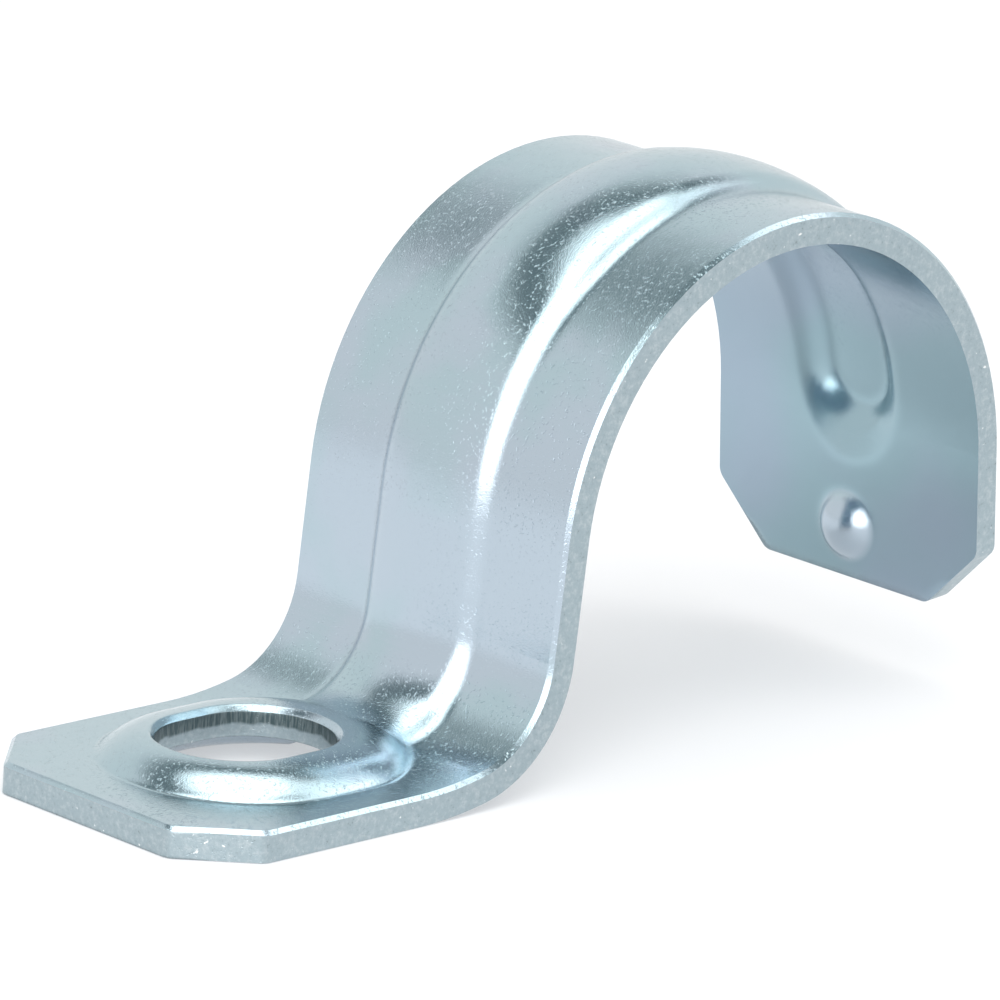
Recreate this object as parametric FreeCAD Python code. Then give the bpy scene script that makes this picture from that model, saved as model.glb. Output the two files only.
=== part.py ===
import FreeCAD, Part
import math
import os

# One-hole conduit strap, pressed from a single strip of zinc-plated steel. Lengths in mm, angles in degrees.
# +X runs from the foot to the free tip, +Y along the conduit, +Z away from the mounting surface.
# The origin is on the conduit's axis, halfway along the strap's width.

# Conduit and strip
conduit_diameter = 33.4      # 1 inch rigid steel conduit
seat_clearance = 0.3         # radial, between the conduit and the arch before the screw is tightened
sheet_thickness = 1.9
strap_width = 22.0
edge_break = 0.25            # bevel that the shear leaves round the outer face
corner_round = 1.0

# Bent shape, seen along the conduit
axis_height = 14.1           # conduit's axis above the underside of the foot
foot_reach = 45.9            # conduit's axis to the end of the foot
leg_lean = 4.2               # foot-side leg, out of upright
tip_splay = 5.2              # free leg, out of upright
tip_height = 5.0             # end of the free leg above the underside of the foot
bend_radius = 6.4            # concave side of the bend between foot and leg
lead_radius = 25.5           # gentle curve between the foot's flat and that bend
lead_angle = 11.5

# Cut corners
foot_cut_along = 4.2
foot_cut_across = 3.9
tip_cut_along = 4.1
tip_cut_across = 4.1

# Stiffening rib, pressed outwards along the middle, from the boss over the arch
rib_height = 1.3
rib_width = 9.3              # across its foot lines on the outer face
rib_flank = 42.0
rib_crown_radius = 14.0
rib_shoulder_radius = 1.8
groove_floor_width = 4.7     # flat of the matching groove on the inner face
groove_lip_radius = 2.5
lip_run_out = 25.0           # angle at which a rounded lip meets the inner face
rib_end_rise = 8.6           # angle on the arch between the free leg and the centre of the rib's round end

# Raised boss round the screw slot
slot_reach = 33.3            # conduit's axis to the middle of the slot
slot_width = 9.1
slot_length = 11.3
slot_rim_break = 0.35
boss_shift = 0.9             # middle of the boss nearer the conduit than the middle of the slot
boss_margin = 3.85           # side of the slot to the boss's foot line
boss_extra_length = 0.6      # more than the same margin all round would give
boss_height = 1.6
boss_flank = 44.0
boss_shoulder_radius = 4.4
recess_margin = 0.85         # side of the slot to the edge of the recess's floor
recess_lip_radius = 2.0

crease_round = 0.45          # in the creases round the rib and the boss, and where the two meet

# Snap nub on the free leg, pressed towards the conduit
nub_setback = 3.3            # from the end of the leg
nub_radius = 2.2
nub_height = 1.2
nub_dent_radius = 1.8

inner_radius = conduit_diameter / 2 + seat_clearance
outer_radius = inner_radius + sheet_thickness
foot_top = sheet_thickness - axis_height
bury = sheet_thickness / 2   # how far a raised form reaches into the sheet below the outer face
overshoot = 1.2              # how far a cutter reaches past the inner face
boss_reach = slot_reach - boss_shift
boss_radius = slot_width / 2 + boss_margin
boss_stretch = slot_length - slot_width + boss_extra_length
recess_floor_width = slot_width + 2 * recess_margin

across = FreeCAD.Vector(0, 1, 0)
origin = FreeCAD.Vector(0, 0, 0)
tolerance = 0.01             # for picking edges by their size and place


def sin(angle):
    return math.sin(math.radians(angle))


def cos(angle):
    return math.cos(math.radians(angle))


def tan(angle):
    return math.tan(math.radians(angle))


# The strip's course is a list of steps along its outer face. Each step starts from a frame whose x is the
# width, y the outward normal and z the heading.

def straight(length):
    return {"length": length}


def curve(radius, angle, side):
    """An arc of the outer face. side is 1 towards the outward normal and -1 away from it."""
    return {"radius": radius, "angle": angle, "side": side}


def outward(frame):
    return frame.Rotation.multVec(FreeCAD.Vector(0, 1, 0))


def onward(frame):
    return frame.Rotation.multVec(FreeCAD.Vector(0, 0, 1))


def moved(shape, frame):
    placed = shape.copy()
    placed.Placement = frame
    return placed


def step_end(frame, step):
    """The frame at the end of a step."""
    if "length" in step:
        return FreeCAD.Placement(frame.Base + onward(frame) * step["length"], frame.Rotation)
    centre = frame.Base + outward(frame) * (step["radius"] * step["side"])
    turn = FreeCAD.Rotation(across * -step["side"], step["angle"])
    return FreeCAD.Placement(centre + turn.multVec(frame.Base - centre), turn * frame.Rotation)


def sweep(section, frame, steps):
    """One solid made by carrying a section face along the steps."""
    pieces = []
    for step in steps:
        placed = moved(section, frame)
        if "length" in step:
            pieces.append(placed.extrude(onward(frame) * step["length"]))
        else:
            centre = frame.Base + outward(frame) * (step["radius"] * step["side"])
            pieces.append(placed.revolve(centre, across * -step["side"], step["angle"]))
        frame = step_end(frame, step)
    return pieces[0].multiFuse(pieces[1:]).removeSplitter()


def walk(frame, steps):
    for step in steps:
        frame = step_end(frame, step)
    return frame


# Sections are drawn in x (across) and y (outward), with y = 0 on the outer face. A half section is the open
# outline of its +x side, from its middle line back to its middle line.

def at(x, y):
    return FreeCAD.Vector(x, y, 0)


def lines(*corners):
    return [Part.LineSegment(a, b).toShape() for a, b in zip(corners, corners[1:])]


def arc(centre, radius, from_angle, to_angle):
    """An arc with its two ends. Its angles run from +y towards +x."""
    points = []
    for angle in (from_angle, (from_angle + to_angle) / 2, to_angle):
        points.append(centre + at(sin(angle), cos(angle)) * radius)
    return Part.Arc(*points).toShape(), points[0], points[2]


def rib_half():
    """A crown, a tighter shoulder and a straight flank."""
    crown = at(0, rib_height - rib_crown_radius)
    difference = rib_crown_radius - rib_shoulder_radius
    reach = (rib_width / 2 * sin(rib_flank) - rib_shoulder_radius - crown.y * cos(rib_flank)) / difference
    crown_end = rib_flank - math.degrees(math.acos(reach))
    shoulder = crown + at(sin(crown_end), cos(crown_end)) * difference
    crown_arc, top, crown_side = arc(crown, rib_crown_radius, 0, crown_end)
    shoulder_arc, crown_side, flank_top = arc(shoulder, rib_shoulder_radius, crown_end, rib_flank)
    flank_foot = at(rib_width / 2 + bury / tan(rib_flank), -bury)
    return [crown_arc, shoulder_arc] + lines(flank_top, flank_foot, at(0, -bury))


def boss_half():
    """A flat top, a shoulder and a straight flank."""
    shoulder_y = boss_height - boss_shoulder_radius
    shoulder_x = boss_radius - (boss_shoulder_radius + shoulder_y * cos(boss_flank)) / sin(boss_flank)
    shoulder_arc, top_end, flank_top = arc(at(shoulder_x, shoulder_y), boss_shoulder_radius, 0, boss_flank)
    flank_foot = at(boss_radius + bury / tan(boss_flank), -bury)
    return lines(at(0, boss_height), top_end) + [shoulder_arc] + lines(flank_top, flank_foot, at(0, -bury))


def hollow_half(floor_width, depth, flank, lip_radius):
    """A hollow in the inner face: a flat floor, a flank and a rounded lip."""
    inner = -sheet_thickness
    floor_end = at(floor_width / 2, inner + depth)
    mouth = floor_end.x + depth / tan(flank)
    lip = at(mouth + lip_radius * tan(flank / 2), inner + lip_radius)
    lip_arc, flank_foot, lip_end = arc(lip, lip_radius, 180 + flank, 180 + lip_run_out)
    beyond = inner - overshoot
    outside = at(lip_end.x + (lip_end.y - beyond) / tan(lip_run_out), beyond)
    return lines(at(0, floor_end.y), floor_end, flank_foot) + [lip_arc] + lines(lip_end, outside, at(0, beyond))


def face(edges):
    return Part.Face(Part.Wire(Part.__sortEdges__(edges)))


def whole(half):
    """The face between a half section and its mirror image."""
    return face(half + [edge.mirror(origin, at(1, 0)) for edge in half])


def round_end(half, frame, angle=180):
    """A half section turned about the outward normal, as the round end of a rib or boss."""
    middle_line = lines(half[-1].Vertexes[-1].Point, half[0].Vertexes[0].Point)
    return moved(face(half + middle_line), frame).revolve(frame.Base, outward(frame) * -1, angle)


def long_form(half, frame, steps):
    """A swept form with a round end at its last frame."""
    return sweep(whole(half), frame, steps).fuse(round_end(half, walk(frame, steps)))


def capsule(half, frame, stretch):
    """A form with two round ends, stretched along the heading about the frame's middle."""
    start = FreeCAD.Placement(frame.Base - onward(frame) * (stretch / 2), frame.Rotation)
    ends = [round_end(half, walk(start, [straight(distance)]), 360) for distance in (0, stretch)]
    return sweep(whole(half), start, [straight(stretch)]).multiFuse(ends)


def foot_frame(reach):
    """The frame on the foot's outer face at a distance from the conduit's axis."""
    turn = FreeCAD.Rotation(across, FreeCAD.Vector(0, 0, 1), FreeCAD.Vector(1, 0, 0), "XYZ")
    return FreeCAD.Placement(FreeCAD.Vector(-reach, 0, foot_top), turn)


# The strip's course from the foot's end to the free tip
lead_end_x = lead_radius * sin(lead_angle)
bend_end_x = lead_end_x + bend_radius * (cos(leg_lean) - sin(lead_angle))
bend_rise = lead_radius * (1 - cos(lead_angle)) + bend_radius * (cos(lead_angle) - sin(leg_lean))
leg_length = (outer_radius * sin(leg_lean) - foot_top - bend_rise) / cos(leg_lean)
lead_start = outer_radius * cos(leg_lean) + leg_length * sin(leg_lean) + bend_end_x
tip_length = (inner_radius * sin(tip_splay) + axis_height - tip_height) / cos(tip_splay)
arch_angle = 180 - leg_lean - tip_splay

climb = [
    curve(lead_radius, lead_angle, 1),
    curve(bend_radius, 90 - leg_lean - lead_angle, 1),
    straight(leg_length),
]
course = [straight(foot_reach - lead_start)] + climb + [curve(outer_radius, arch_angle, -1), straight(tip_length)]


def corner_cuts(frame, along, across_size, inward):
    """The triangular prisms sheared off the strip's two corners at an end. inward is 1 or -1 along the heading."""
    cuts = []
    for side in (-1, 1):
        corner = FreeCAD.Vector(side * strap_width / 2, overshoot, 0)
        over_end = corner + FreeCAD.Vector(side * across_size, 0, -inward * along)
        end_point = corner - FreeCAD.Vector(side * across_size, 0, 0)
        side_point = corner + FreeCAD.Vector(0, 0, inward * along)
        slope = side_point - end_point
        triangle = face(lines(end_point - slope, side_point + slope, over_end, end_point - slope))
        prism = triangle.extrude(at(0, -sheet_thickness - 2 * overshoot))
        cuts.append(moved(prism, frame))
    return cuts


def is_corner(edge):
    """True for the short straight edges through the sheet at the strip's ends."""
    run = edge.lastVertex().Point - edge.firstVertex().Point
    return abs(run.Length - sheet_thickness) < tolerance and abs(run.y) < tolerance


def is_arch_rim(edge):
    """True for the outer face's two long edges over the arch."""
    return isinstance(edge.Curve, Part.Circle) and abs(edge.Curve.Radius - outer_radius) < tolerance


def runs_on(edge, line):
    """True for an edge whose middle lies on the line."""
    if edge.Length < tolerance:
        return False
    middle = edge.valueAt((edge.FirstParameter + edge.LastParameter) / 2)
    return line.distToShape(Part.Vertex(middle))[0] < tolerance


def strip():
    """The bare strip: bent, with its corners cut and rounded and its outer face's edge broken."""
    side = strap_width / 2
    half = lines(at(0, 0), at(side, 0), at(side, -sheet_thickness), at(0, -sheet_thickness))
    start = foot_frame(foot_reach)
    cuts = corner_cuts(start, foot_cut_along, foot_cut_across, 1)
    cuts += corner_cuts(walk(start, course), tip_cut_along, tip_cut_across, -1)
    body = sweep(whole(half), start, course).cut(Part.makeCompound(cuts))
    body = body.makeFillet(corner_round, [edge for edge in body.Edges if is_corner(edge)])
    return body.makeChamfer(edge_break, [edge for edge in body.Edges if is_arch_rim(edge)])


def underneath():
    """The space on the inner side of the sheet's middle, under the foot, the bend and the leg."""
    side = strap_width / 2
    half = lines(at(0, -bury), at(side, -bury), at(side, -axis_height), at(0, -axis_height))
    return sweep(whole(half), foot_frame(foot_reach), course[:1] + climb)


def punch_half():
    """The slot's section, flared at the top of the boss to break the slot's rim."""
    side = slot_width / 2
    rim = side + slot_rim_break
    top = boss_height + overshoot
    bottom = -sheet_thickness - overshoot
    wall_top = at(side, boss_height - slot_rim_break)
    return lines(at(0, top), at(rim, top), at(rim, boss_height), wall_top, at(side, bottom), at(0, bottom))


def nub():
    """The snap nub's dome and the dent behind it, as seen from the middle of its seat on the inner face."""
    frame = walk(foot_frame(foot_reach), course + [straight(-nub_setback)])
    sphere_radius = (nub_radius ** 2 + nub_height ** 2) / (2 * nub_height)
    inner = -sheet_thickness
    half_angle = math.degrees(math.asin(nub_radius / sphere_radius))
    dome_arc, tip, rim = arc(at(0, inner - nub_height + sphere_radius), sphere_radius, 180, 180 - half_angle)
    seat = inner + bury
    dome = [dome_arc] + lines(rim, at(nub_radius, seat), at(0, seat))
    dent = Part.makeSphere(nub_dent_radius, frame.Base + outward(frame) * (nub_dent_radius - nub_height))
    return round_end(dome, frame, 360), dent


def along_rib(half):
    """A form that runs along the middle of the strap, from the boss to the rib's end."""
    start = foot_frame(boss_reach - boss_stretch / 2)
    steps = [straight(boss_reach - boss_stretch / 2 - lead_start)] + climb
    steps.append(curve(outer_radius, arch_angle - rib_end_rise, -1))
    return long_form(half, start, steps)


def round_slot(half, reach, stretch):
    """A form with two round ends on the foot, at a distance from the conduit's axis."""
    return capsule(half, foot_frame(reach), stretch)


def raised_strip():
    """The strip with the rib and the boss on its outer face, and a small round in their creases."""
    flat = strip()
    rib = along_rib(rib_half())
    boss = round_slot(boss_half(), boss_reach, boss_stretch)
    raised = rib.fuse(boss).cut(underneath())
    body = flat.fuse(raised).removeSplitter()
    creases = [flat.section(raised), rib.section(boss)]
    chosen = [edge for edge in body.Edges if any(runs_on(edge, line) for line in creases)]
    return body.makeFillet(crease_round, chosen)


def strap():
    groove = hollow_half(groove_floor_width, rib_height, rib_flank, groove_lip_radius)
    recess = hollow_half(recess_floor_width, boss_height, boss_flank, recess_lip_radius)
    dome, dent = nub()
    body = raised_strip().cut(along_rib(groove))
    body = body.cut(round_slot(recess, boss_reach, boss_stretch))
    body = body.cut(round_slot(punch_half(), slot_reach, slot_length - slot_width))
    return body.fuse(dome).cut(dent).removeSplitter().Solids[0]


os.makedirs("parts", exist_ok=True)
strap().exportStep("parts/strap.step")
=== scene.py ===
"""The looks of the conduit strap: its zinc plating, a plain studio and the camera. Lengths in metres."""

import math
from types import SimpleNamespace

import bpy
from mathutils import Euler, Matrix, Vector

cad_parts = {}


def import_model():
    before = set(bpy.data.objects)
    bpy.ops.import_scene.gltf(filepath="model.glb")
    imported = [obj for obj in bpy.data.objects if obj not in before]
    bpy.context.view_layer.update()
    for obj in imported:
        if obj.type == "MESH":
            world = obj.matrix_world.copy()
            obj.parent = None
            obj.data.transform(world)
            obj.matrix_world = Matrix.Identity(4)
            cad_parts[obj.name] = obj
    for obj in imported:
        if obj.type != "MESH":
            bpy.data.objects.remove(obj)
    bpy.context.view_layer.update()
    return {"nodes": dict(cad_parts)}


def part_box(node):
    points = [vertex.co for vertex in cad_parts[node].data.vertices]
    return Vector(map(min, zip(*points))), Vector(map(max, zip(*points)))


MM = 0.001

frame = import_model()

strap = frame["nodes"]["strap"]
lowest_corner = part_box("strap")[0]

# Camera: it looks at TARGET, heading AZIMUTH degrees from +Y towards +X and ELEVATION degrees down
TARGET = Vector((-6.93, 6.30, -2.01)) * MM
AZIMUTH = 45.74
ELEVATION = 15.84
ROLL = 4.04
DISTANCE = 551.3 * MM
LENS = 326.3
CLIP_START = 0.01

# Studio; angles in degrees
WHITE = (1, 1, 1, 1)
ROOM_LIGHT = 0.55                # strength of the white room's light on matt things; it is seen at 1
FLOOR_Z = lowest_corner[2] - 0.05 * MM    # a hair below the foot, so that the two faces don't coincide
FLOOR_REACH = 3.0
FLOOR_COLOUR = (0.55, 0.56, 0.57, 1)
FLOOR_LIFT = 0.42                # glow that brings the floor's colour up to the background's white
CEILING_UNLIT = (0.22, 0.265, 0.28, 1)
CEILING_RADIUS = 1.1
CEILING_LOW = 42.0               # the elevations between which the ceiling is unlit
CEILING_HIGH = 66.0
CEILING_LOW_FADE = 8
CEILING_HIGH_FADE = 3
CEILING_RINGS = 12
CEILING_SIDES = 48

# Places on the strap. The conduit's axis is Y, and "off the middle" is a distance along it
FOOT_X = -27.5 * MM              # beyond it, on the foot, only cut faces stand upright
SLOT_END_X = -40.0 * MM          # between the slot's wall and the foot's end
SLOT_SIDE = 6.0 * MM             # off the middle, between the slot's wall and the strip's sides
SHEARED_Z = -11.6 * MM           # lower edge of the sheared band in the slot's wall
SHEARED_FADE = 0.25 * MM
SHEARED_RAGGED = 0.5 * MM
TIP_CORNERS_SIDE = 6.5 * MM      # off the middle, where the cut corners of the free tip begin
TIP_CORNERS_Z = -4.9 * MM        # just above those corners
TIP_END_Z = -8.6 * MM            # just above the free tip's end
NUB_Z = -5.8 * MM
NUB_UNSHADED_RADIUS = 1.9 * MM         # from the nub's middle; the nub is left out of the painted shade, which comes in over its rim
NUB_UNSHADED_FADE = 0.6 * MM
INNER_SHADE_RADIUS = 19.5 * MM          # from the axis; the painted shade on the inner face fades out between the two radii
INNER_SHADE_END_RADIUS = 24.0 * MM
ARCH_ROUGH_Z = 4 * MM            # the sheet is rough above this, where the arch is bent
ARCH_SMOOTH_Z = -2 * MM
BEND_ROUGH_Z = -9 * MM           # and below this, in the bend, the foot and the end of the free leg
BEND_SMOOTH_Z = -7 * MM
CREASES_SIDE = 7.5 * MM          # off the middle; the rounding of creases fades out between the two
CREASES_END_SIDE = 9.2 * MM
CREASES_FULL_X = -24.5 * MM      # from here to the free tip creases are at their softest
CREASE_RADIUS = 1.1 * MM
GRAIN_HEIGHT = 0.009 * MM

# Colours of the metal
# the plate's colour with a painted reflection of the room: lavender on faces that look sideways, teal on
# those that look up
PLATE_LAVENDER_REFLECTION = (0.47, 0.55, 0.622, 1)
PLATE_TEAL_REFLECTION = (0.425, 0.55, 0.595, 1)
# painted shade on the inner face of the arch and its legs, in lavender and teal
INNER_SHADE_LAVENDER = (0.345, 0.435, 0.52, 1)
INNER_SHADE_TEAL = (0.32, 0.45, 0.505, 1)
CUT_GREY = (0.365, 0.445, 0.48, 1)
CUT_PALE = (0.48, 0.545, 0.57, 1)
CUT_DARK = (0.25, 0.29, 0.30, 1)
CUT_FLECK = (0.85, 0.87, 0.87, 1)
SHEARED_DARK = (0.09, 0.13, 0.14, 1)
SHEARED_STREAK = (0.22, 0.27, 0.28, 1)


class Nodes:
    """Short calls for building a shader tree. A mask is a value between 0, outside, and 1, inside."""

    def __init__(self, tree):
        self.tree = tree
        self.tree.nodes.clear()

    def add(self, kind, settings=(), **inputs):
        node = self.tree.nodes.new(kind)
        for name, value in dict(settings).items():
            setattr(node, name, value)
        for name, value in inputs.items():
            self.feed(node.inputs[name.replace("_", " ")], value)
        return node

    def feed(self, socket, value):
        if isinstance(value, bpy.types.NodeSocket):
            self.tree.links.new(value, socket)
        else:
            socket.default_value = value

    def math(self, operation, *values):
        node = self.tree.nodes.new("ShaderNodeMath")
        node.operation = operation
        for socket, value in zip(node.inputs, values):
            self.feed(socket, value)
        return node.outputs[0]

    def plus(self, first, second):
        return self.math("ADD", first, second)

    def times(self, first, second):
        """A product; of two masks, the part inside both."""
        return self.math("MULTIPLY", first, second)

    def greater(self, first, second):
        """The greater value; of two masks, the part inside either."""
        return self.math("MAXIMUM", first, second)

    def absolute(self, value):
        return self.math("ABSOLUTE", value)

    def below(self, value, limit):
        return self.math("LESS_THAN", value, limit)

    def above(self, value, limit):
        return self.math("GREATER_THAN", value, limit)

    def distance(self, first, second):
        """The length of the vector with these two parts."""
        return self.math("SQRT", self.plus(self.times(first, first), self.times(second, second)))

    def smooth(self, value, low_end, high_end, to_low=0.0, to_high=1.0):
        """Goes smoothly from to_low, at low_end, to to_high, at high_end. Either end may be the smaller."""
        node = self.tree.nodes.new("ShaderNodeMapRange")
        node.interpolation_type = "SMOOTHSTEP"
        for socket, number in zip(node.inputs, (value, low_end, high_end, to_low, to_high)):
            self.feed(socket, number)
        return node.outputs[0]

    def mix(self, factor, first, second):
        node = self.tree.nodes.new("ShaderNodeMix")
        node.data_type = "RGBA"
        self.feed(node.inputs["Factor"], factor)
        self.feed(node.inputs["A"], first)
        self.feed(node.inputs["B"], second)
        return node.outputs["Result"]

    def noise(self, vector, size, detail=2.0, roughness=0.5):
        """Noise whose features are about size metres across."""
        node = self.add("ShaderNodeTexNoise", Vector=vector, Scale=1 / size, Detail=detail,
                        Roughness=roughness)
        return node.outputs["Fac"]

    def surface(self, shader):
        out = self.add("ShaderNodeOutputMaterial")
        self.feed(out.inputs["Surface"], shader.outputs[0])


def new_material(name):
    material = bpy.data.materials.new(name)
    material.use_nodes = True
    return material, Nodes(material.node_tree)


def spot_on_strap(n):
    """Where a point of the surface lies on the strap, and the direction its face looks in."""
    place = n.add("ShaderNodeTexCoord").outputs["Object"]
    facing = n.add("ShaderNodeNewGeometry").outputs["True Normal"]
    x, y, z = n.add("ShaderNodeSeparateXYZ", Vector=place).outputs
    nx, ny, nz = n.add("ShaderNodeSeparateXYZ", Vector=facing).outputs
    return SimpleNamespace(place=place, x=x, y=y, z=z, nx=nx, ny=ny, nz=nz)


def foot_cuts(n, spot):
    """Masks the upright faces of the foot: its end, its cut corners and the slot's wall."""
    upright = n.smooth(n.absolute(spot.nz), 0.35, 0.25)
    return n.times(upright, n.below(spot.x, FOOT_X))


def tip_cuts(n, spot):
    """Masks the end of the free tip and its cut corners."""
    past_nub = n.greater(n.above(n.absolute(spot.y), TIP_CORNERS_SIDE), n.below(spot.z, TIP_END_Z))
    low_down = n.times(n.below(spot.z, TIP_CORNERS_Z), n.above(spot.x, 0.0))
    return n.times(n.times(past_nub, low_down), n.below(spot.nz, -0.5))


def painted_inner_shade(n, spot):
    """Masks the inner face of the arch and its legs, where shade is painted, but for the nub, which is left
    out of it.
    """
    radius = n.distance(spot.x, spot.z)
    outward = n.plus(n.times(spot.x, spot.nx), n.times(spot.z, spot.nz))
    inside = n.times(n.below(outward, 0.0), n.smooth(radius, INNER_SHADE_END_RADIUS, INNER_SHADE_RADIUS))
    from_nub = n.distance(spot.y, n.plus(spot.z, -NUB_Z))
    off_nub = n.smooth(from_nub, NUB_UNSHADED_RADIUS, NUB_UNSHADED_RADIUS + NUB_UNSHADED_FADE)
    return n.times(inside, n.greater(off_nub, n.below(spot.x, 0.0)))


def plate_and_painted_light(n, spot, shaded_inside):
    """The plate's colour with a painted reflection of the room, teal on faces that look up and lavender on
    those that look sideways, in slow patches; painted shade on the inner face.
    """
    patches = n.smooth(n.noise(spot.place, size=7 * MM), 0.3, 0.7, to_low=-0.5, to_high=0.5)
    upward = n.plus(n.smooth(spot.nz, 0.1, 0.9), patches)
    # painted reflection: teal on faces that look up, lavender on those that look sideways
    bright = n.mix(n.smooth(upward, 0.0, 1.0), PLATE_LAVENDER_REFLECTION, PLATE_TEAL_REFLECTION)
    hue = n.smooth(n.noise(spot.place, size=11 * MM, detail=1.0), 0.35, 0.65)
    # painted shade on the inner face, in a hue that wanders between lavender and teal
    return n.mix(shaded_inside, bright, n.mix(hue, INNER_SHADE_LAVENDER, INNER_SHADE_TEAL))


def sheared_band(n, spot, foot_cut):
    """Masks the upper band of the slot's wall, which the punch sheared, down to where the metal tore."""
    in_slot = n.times(foot_cut, n.below(n.absolute(spot.y), SLOT_SIDE))
    in_slot = n.times(in_slot, n.above(spot.x, SLOT_END_X))
    ragged_z = n.plus(spot.z, n.times(n.noise(spot.place, size=1.0 * MM), SHEARED_RAGGED))
    return n.times(in_slot, n.smooth(ragged_z, SHEARED_Z, SHEARED_Z + SHEARED_FADE))


def cut_colour(n, spot, foot_cut):
    """Grey with pale and dark flecks; streaked and dark in the sheared band."""
    specks = n.noise(spot.place, size=0.35 * MM, detail=5.0, roughness=0.75)
    bare = n.mix(n.smooth(specks, 0.45, 0.70), CUT_GREY, CUT_PALE)
    bare = n.mix(n.smooth(specks, 0.40, 0.30), bare, CUT_DARK)
    glints = n.smooth(n.noise(spot.place, size=0.5 * MM, detail=3.0), 0.68, 0.72)
    bare = n.mix(glints, bare, CUT_FLECK)
    drawn_out = n.add("ShaderNodeMapping", Vector=spot.place, Scale=(1.0, 1.0, 0.12)).outputs[0]
    streaks = n.smooth(n.noise(drawn_out, size=0.12 * MM), 0.35, 0.75)
    return n.mix(sheared_band(n, spot, foot_cut), bare, n.mix(streaks, SHEARED_DARK, SHEARED_STREAK))


def relief(n, spot, shaded_inside):
    """Height in units of GRAIN_HEIGHT: a fine crystal grain, a slow waviness and sparse sunk flecks."""
    arch = n.smooth(spot.z, ARCH_SMOOTH_Z, ARCH_ROUGH_Z)
    bend = n.smooth(spot.z, BEND_SMOOTH_Z, BEND_ROUGH_Z)
    bent = n.greater(arch, bend)
    crystals = n.noise(spot.place, size=0.09 * MM, roughness=0.7)
    grain = n.times(crystals, n.smooth(bent, 0, 1, to_low=0.8, to_high=1.1))
    waves = n.times(n.noise(spot.place, size=2.5 * MM, detail=1.0), 2.5)
    flecks = n.smooth(n.noise(spot.place, size=0.22 * MM, roughness=0.6), 0.60, 0.70)
    fleck_depth = n.times(n.smooth(bent, 0, 1, to_low=0.3, to_high=1.0),
                          n.smooth(shaded_inside, 0, 1, to_low=1.5, to_high=0.4))
    return n.math("SUBTRACT", n.plus(grain, waves), n.times(flecks, fleck_depth))


def soft_creases(n, spot):
    """Normals rounded over the pressed forms' creases; the strip's sides and the slot's rim stay crisp."""
    amid = n.smooth(n.absolute(spot.y), CREASES_END_SIDE, CREASES_SIDE)
    off_foot = n.smooth(spot.x, FOOT_X, CREASES_FULL_X, to_low=0.25, to_high=1.0)
    radius = n.times(n.times(amid, off_foot), CREASE_RADIUS)
    return n.add("ShaderNodeBevel", {"samples": 8}, Radius=radius).outputs[0]


def zinc_material():
    """Bright zinc plate: soft blue-white metal with a fine grain; matt, flecked grey on the cut faces."""
    material, n = new_material("zinc_plate")
    spot = spot_on_strap(n)
    strip_sides = n.smooth(n.absolute(spot.ny), 0.80, 0.86)
    foot_cut = foot_cuts(n, spot)
    cut = n.greater(n.greater(strip_sides, foot_cut), tip_cuts(n, spot))
    # the inner face, where shade is painted on the plate's colour
    shaded_inside = painted_inner_shade(n, spot)

    # the plate's colour carries a painted reflection of the room and painted shade on the inner face
    colour = n.mix(cut, plate_and_painted_light(n, spot, shaded_inside), cut_colour(n, spot, foot_cut))
    gloss = n.smooth(n.noise(spot.place, size=1.2 * MM, detail=3.0), 0.3, 0.7, to_low=0.11, to_high=0.16)
    roughness = n.plus(gloss, n.times(cut, 0.25))
    bump = n.add("ShaderNodeBump", Height=relief(n, spot, shaded_inside), Strength=1.0, Distance=GRAIN_HEIGHT,
                 Normal=soft_creases(n, spot))
    metal = n.add("ShaderNodeBsdfPrincipled", Base_Color=colour, Metallic=1.0, Roughness=roughness,
                  Normal=bump.outputs[0])
    n.surface(metal)
    return material


def seen_ray(n):
    """1 for rays that see the background: straight from the camera, in gloss or through glass."""
    path = n.add("ShaderNodeLightPath").outputs
    return n.greater(n.greater(path["Is Camera Ray"], path["Is Glossy Ray"]), path["Is Transmission Ray"])


def studio_object(name, points, faces, material):
    mesh = bpy.data.meshes.new(name)
    mesh.from_pydata(points, [], faces)
    mesh.materials.append(material)
    thing = bpy.data.objects.new(name, mesh)
    bpy.context.collection.objects.link(thing)
    return thing


def paper_material():
    """White paper. From below it is clear, so that the strap's underside can be seen."""
    material, n = new_material("floor_paper")
    paper = n.add("ShaderNodeBsdfDiffuse", Color=FLOOR_COLOUR)
    lift = n.add("ShaderNodeEmission", Color=WHITE, Strength=n.times(seen_ray(n), FLOOR_LIFT))
    lifted = n.add("ShaderNodeAddShader")
    n.feed(lifted.inputs[0], paper.outputs[0])
    n.feed(lifted.inputs[1], lift.outputs[0])
    clear = n.add("ShaderNodeBsdfTransparent")
    sheet = n.add("ShaderNodeMixShader", Fac=n.add("ShaderNodeNewGeometry").outputs["Backfacing"])
    n.feed(sheet.inputs[1], lifted.outputs[0])
    n.feed(sheet.inputs[2], clear.outputs[0])
    n.surface(sheet)
    return material


def floor():
    corners = [(x * FLOOR_REACH, y * FLOOR_REACH, FLOOR_Z) for x, y in ((-1, -1), (1, -1), (1, 1), (-1, 1))]
    plane = studio_object("floor", corners, [(0, 1, 2, 3)], paper_material())


def world():
    """A white room. It is seen at full white, and lights matt things less."""
    room = bpy.data.worlds.new("studio")
    room.use_nodes = True
    n = Nodes(room.node_tree)
    strength = n.smooth(seen_ray(n), 0, 1, to_low=ROOM_LIGHT, to_high=1.0)
    back = n.add("ShaderNodeBackground", Color=WHITE, Strength=strength)
    out = n.add("ShaderNodeOutputWorld")
    n.feed(out.inputs["Surface"], back.outputs[0])
    bpy.context.scene.world = room


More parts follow.
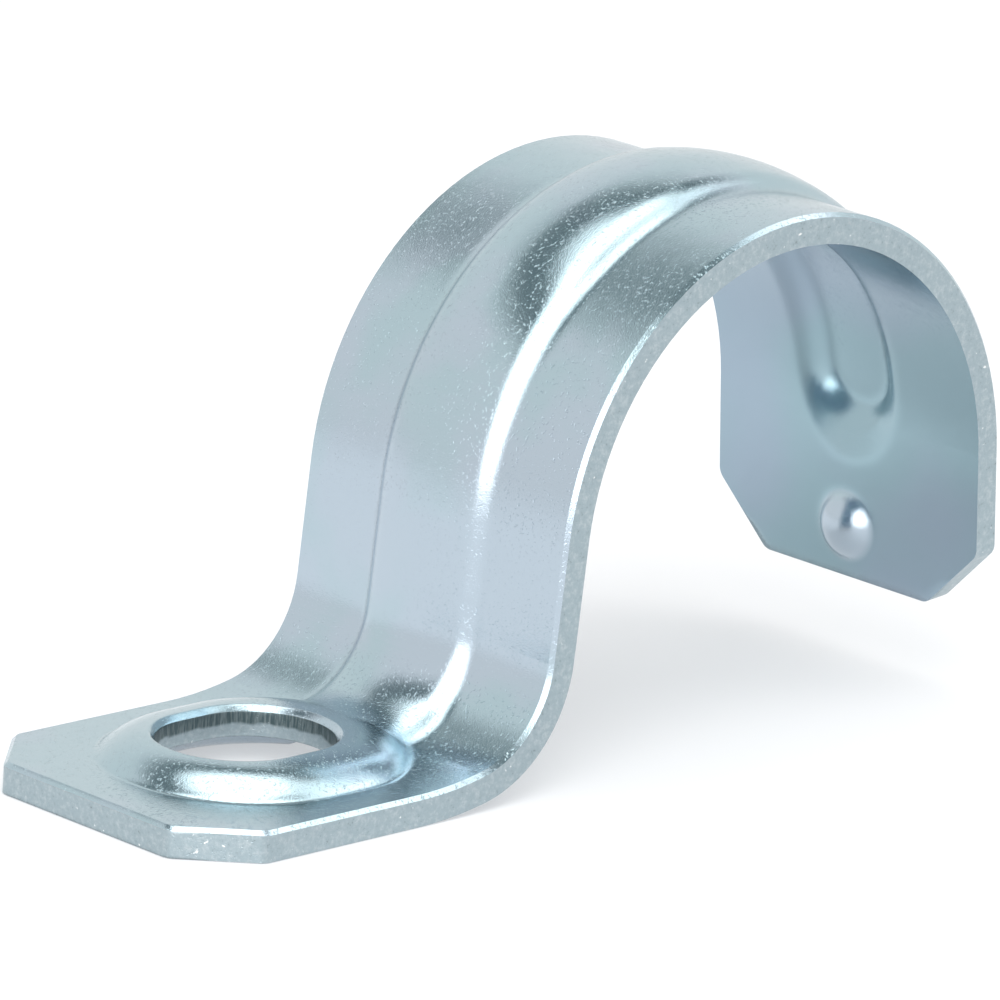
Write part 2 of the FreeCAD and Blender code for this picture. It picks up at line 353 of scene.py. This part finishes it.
def heading(azimuth, elevation):
    """The unit vector that points to an azimuth, in degrees from +Y towards +X, and an elevation."""
    a, e = math.radians(azimuth), math.radians(elevation)
    return Vector((math.sin(a) * math.cos(e), math.cos(a) * math.cos(e), math.sin(e)))


def softbox(name, azimuth, elevation, distance, width, height, power):
    """A rectangular lamp in that direction from the origin, the middle of the arch, facing it."""
    lamp = bpy.data.lights.new(name, "AREA")
    lamp.shape = "RECTANGLE"
    lamp.size = width
    lamp.size_y = height
    lamp.energy = power
    thing = bpy.data.objects.new(name, lamp)
    bpy.context.collection.objects.link(thing)
    away = heading(azimuth, elevation)
    thing.location = away * distance
    thing.rotation_euler = away.to_track_quat("Z", "Y").to_euler()
    thing.visible_camera = False


def ceiling_material():
    """Unlit, but fading to white at the low and the high edge."""
    material, n = new_material("ceiling")
    place = n.add("ShaderNodeTexCoord").outputs["Object"]
    height = n.math("DIVIDE", n.add("ShaderNodeSeparateXYZ", Vector=place).outputs[2], CEILING_RADIUS)
    rise = n.times(n.math("ARCSINE", height), 180 / math.pi)
    low_edge = n.smooth(rise, CEILING_LOW, CEILING_LOW + CEILING_LOW_FADE, to_low=1.0, to_high=0.0)
    high_edge = n.smooth(rise, CEILING_HIGH - CEILING_HIGH_FADE, CEILING_HIGH)
    light = n.mix(n.greater(low_edge, high_edge), CEILING_UNLIT, WHITE)
    n.surface(n.add("ShaderNodeEmission", Color=light, Strength=1.0))
    return material


def ceiling():
    """The unlit part of the ceiling: a dark ring round the overhead softbox, seen in reflections only."""
    points = []
    for ring in range(CEILING_RINGS + 1):
        elevation = CEILING_LOW + (CEILING_HIGH - CEILING_LOW) * ring / CEILING_RINGS
        for side in range(CEILING_SIDES):
            points.append(heading(side * 360 / CEILING_SIDES, elevation) * CEILING_RADIUS)
    faces = []
    for ring in range(CEILING_RINGS):
        row = ring * CEILING_SIDES
        next_row = row + CEILING_SIDES
        for side in range(CEILING_SIDES):
            after = (side + 1) % CEILING_SIDES
            faces.append((row + side, row + after, next_row + after, next_row + side))
    dome = studio_object("ceiling", points, faces, ceiling_material())
    dome.visible_camera = False
    dome.visible_diffuse = False
    dome.visible_shadow = False


def camera():
    data = bpy.data.cameras.new("camera")
    data.lens = LENS
    data.clip_start = CLIP_START
    view = bpy.data.objects.new("camera", data)
    bpy.context.collection.objects.link(view)
    back = heading(AZIMUTH + 180, ELEVATION)
    view.location = TARGET + back * DISTANCE
    turn = Euler((math.radians(90 - ELEVATION), 0, math.radians(-AZIMUTH)), "XYZ").to_matrix()
    roll = Euler((0, 0, math.radians(ROLL)), "XYZ").to_matrix()
    view.rotation_euler = (turn @ roll).to_euler()
    bpy.context.scene.camera = view


strap.data.materials.clear()
strap.data.materials.append(zinc_material())
floor()
world()
softbox("overhead", azimuth=0, elevation=89.9, distance=1.0, width=0.89, height=0.89, power=4.3)
softbox("front", azimuth=-127, elevation=34, distance=0.9, width=0.58, height=1.20, power=6.4)
softbox("side", azimuth=120, elevation=50, distance=0.9, width=0.42, height=0.42, power=0.9)
ceiling()
camera()
bpy.context.scene.view_settings.view_transform = "Standard"
